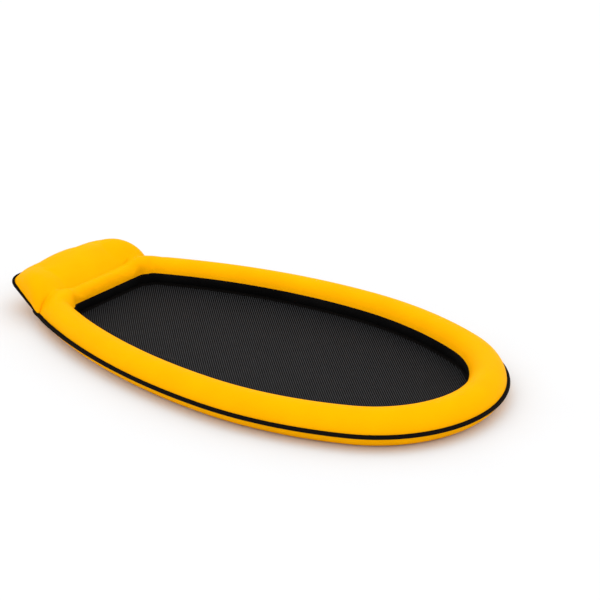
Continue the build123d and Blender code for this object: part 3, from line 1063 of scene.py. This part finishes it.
def tape(name, dark, light, pitch):
    """Ribbed woven tape with a line of stitches."""
    g = Graph(name, IOR=1.1)
    _, along, across = g.cloth()
    ribs = g.wave(along, pitch)
    edge = g.wave(across, pitch * 1.3)
    dashes = g.math("GREATER_THAN", g.wave(along, STITCH_PITCH), -0.4)
    off_line = g.math("ABSOLUTE", g.math("SUBTRACT", across, STITCH_FROM_EDGE))
    stitch = g.math("MULTIPLY", dashes, g.math("LESS_THAN", off_line, STITCH_HALF))
    mix = g.math("ADD", g.math("MULTIPLY", ribs, 0.2), g.noise(300.0, 4.0, 0.6))
    mix = g.math("ADD", mix, g.math("MULTIPLY", stitch, 0.5))
    colour = g.ramp(mix, (0.25, dark), (0.80, light))
    rough = g.spread(g.noise(90.0, 4.0), 0.62, 0.85)
    relief = g.math("ADD", ribs, g.math("MULTIPLY", edge, 0.4))
    normal = g.bump(g.math("ADD", relief, g.math("MULTIPLY", stitch, 2.0)), 0.00012, 0.8)
    return g.finish(colour, rough, normal)


def net(name):
    """Knitted diamond net: strands at both slants, with its holes filled as near-black cells,
    painted shade for the shaded floor seen through them.
    """
    g = Graph(name, IOR=1.09)
    _, x, y = g.cloth()
    slant_x, slant_y = g.math("MULTIPLY", x, NET_X), g.math("MULTIPLY", y, NET_Y)
    rising = g.math("ABSOLUTE", g.math("COSINE", g.math("ADD", slant_x, slant_y)))
    falling = g.math("ABSOLUTE", g.math("COSINE", g.math("SUBTRACT", slant_x, slant_y)))
    rising = g.math("POWER", rising, 4.0)
    falling = g.math("POWER", falling, 3.0)
    strands = g.math("MAXIMUM", g.math("MULTIPLY", rising, 0.5), falling)
    fibres = g.noise(600.0, 3.0, 0.6)
    height = g.math("ADD", strands, g.math("MULTIPLY", fibres, 0.15))
    # painted shade: the darkest stop fills the holes between the strands with the shaded floor
    # under the net; the strands and their flanks keep the net's own dark grey
    colour = g.ramp(height, (0.25, (0.0005, 0.0005, 0.0006)), (0.65, (0.0045, 0.0045, 0.0047)),
                    (1.0, (0.040, 0.040, 0.042)))
    rough = g.spread(g.noise(50.0, 3.0), 0.5, 0.7)
    return g.finish(colour, rough, g.bump(height, 0.0009, 0.7))


def moulded(name, dark, light, low, high, grain, depth, **plain):
    """Plastic, film or metal with a fine uneven surface."""
    g = Graph(name, **plain)
    colour = g.ramp(g.noise(grain * 0.3, 3.0), (0.3, dark), (0.7, light))
    rough = g.spread(g.noise(grain, 4.0, 0.6), low, high)
    return g.finish(colour, rough, g.bump(g.noise(grain, 4.0, 0.6), depth, 0.5))


cover_cloth = woven("cover_cloth", (0.87, 0.370, 0.0), (0.93, 0.404, 0.0), 0.0011, 0.42, 0.56,
                    0.00006, IOR=1.05)
inner_cloth = woven("inner_cloth", (0.0015, 0.0015, 0.0017), (0.005, 0.005, 0.0052), 0.0011, 0.5,
                    0.7, 0.0001, IOR=1.1)
binding = tape("binding_tape", (0.0015, 0.0012, 0.0012), (0.007, 0.006, 0.0055), 0.0016)
net_cloth = net("mesh_net")
film = moulded("bladder_film", (0.74, 0.79, 0.82), (0.84, 0.88, 0.90), 0.15, 0.35, 80.0, 0.0005)
steel = moulded("spring_wire", (0.42, 0.43, 0.45), (0.60, 0.61, 0.63), 0.25, 0.45, 400.0,
                0.00005, Metallic=1.0)
crimped = moulded("ferrule_metal", (0.62, 0.63, 0.64), (0.76, 0.77, 0.78), 0.3, 0.5, 250.0,
                  0.0002, Metallic=1.0)
vinyl = moulded("valve_vinyl", (0.78, 0.80, 0.79), (0.88, 0.89, 0.88), 0.25, 0.42, 160.0,
                0.0001, Coat_Weight=0.1)
collar = moulded("valve_collar_vinyl", (0.02, 0.02, 0.022), (0.04, 0.04, 0.042), 0.4, 0.6,
                 200.0, 0.0001)
flap = moulded("valve_flap_film", (0.68, 0.70, 0.69), (0.80, 0.81, 0.80), 0.35, 0.55, 180.0,
               0.0001)


def dress(piece, material):
    if piece.material_slots:
        for place in piece.material_slots:
            place.material = material
    else:
        piece.data.materials.append(material)


for piece in (tube_top, tube_bottom, pillow_upper, pillow_lower):
    dress(piece, cover_cloth)
dress(inner_wall, inner_cloth)
dress(mesh_bed, net_cloth)
for piece in (ring_binding, pillow_tape, seam_tape):
    dress(piece, binding)
for piece in (ring_film, pillow_film):
    dress(piece, film)
nodes = frame["nodes"]
dress(nodes["spring_hoop"], steel)
dress(nodes["hoop_ferrule"], crimped)
dress(nodes["pillow_hinge_sleeve"], inner_cloth)
for chamber in ("tube", "pillow"):
    dress(nodes[chamber + "_valve_base"], vinyl)
    dress(nodes[chamber + "_valve_cap"], vinyl)
    dress(nodes[chamber + "_valve_tether"], vinyl)
    dress(nodes[chamber + "_valve_collar"], collar)
    dress(nodes[chamber + "_valve_flap"], flap)


# ---- stage, light and camera ----
def make_stage():
    paper = Graph("floor_paper", Specular_IOR_Level=0.0)
    tone = paper.ramp(paper.noise(3.0, 2.0), (0.3, FLOOR_TONE), (0.7, FLOOR_TONE_LIGHT))
    paper.finish(tone, paper.spread(paper.noise(40.0, 2.0), 0.85, 0.95))
    bpy.ops.mesh.primitive_plane_add(size=60, location=(0, 0, -0.0005))
    floor = bpy.context.object
    floor.name = "floor"
    floor.data.materials.append(paper.material)
    world = bpy.data.worlds.new("studio")
    world.use_nodes = True
    world.node_tree.nodes["Background"].inputs["Color"].default_value = (1, 1, 1, 1)
    world.node_tree.nodes["Background"].inputs["Strength"].default_value = WORLD_STRENGTH
    bpy.context.scene.world = world
    light = bpy.data.lights.new("overhead", "SUN")
    light.energy = OVERHEAD_STRENGTH
    light.angle = math.radians(100)
    lamp = bpy.data.objects.new("overhead", light)
    lamp.rotation_euler = (math.radians(8), math.radians(-6), 0)
    bpy.context.scene.collection.objects.link(lamp)


def make_camera():
    data = bpy.data.cameras.new("camera")
    data.lens = 105
    data.sensor_width = 36
    camera = bpy.data.objects.new("camera", data)
    camera.location = (-3.897, -3.099, 2.278)
    aim = Vector((0.416, 0.120, 0)) - camera.location
    camera.rotation_euler = aim.to_track_quat("-Z", "Y").to_euler()
    bpy.context.scene.collection.objects.link(camera)
    bpy.context.scene.camera = camera


make_stage()
make_camera()
bpy.context.scene.view_settings.view_transform = "Standard"
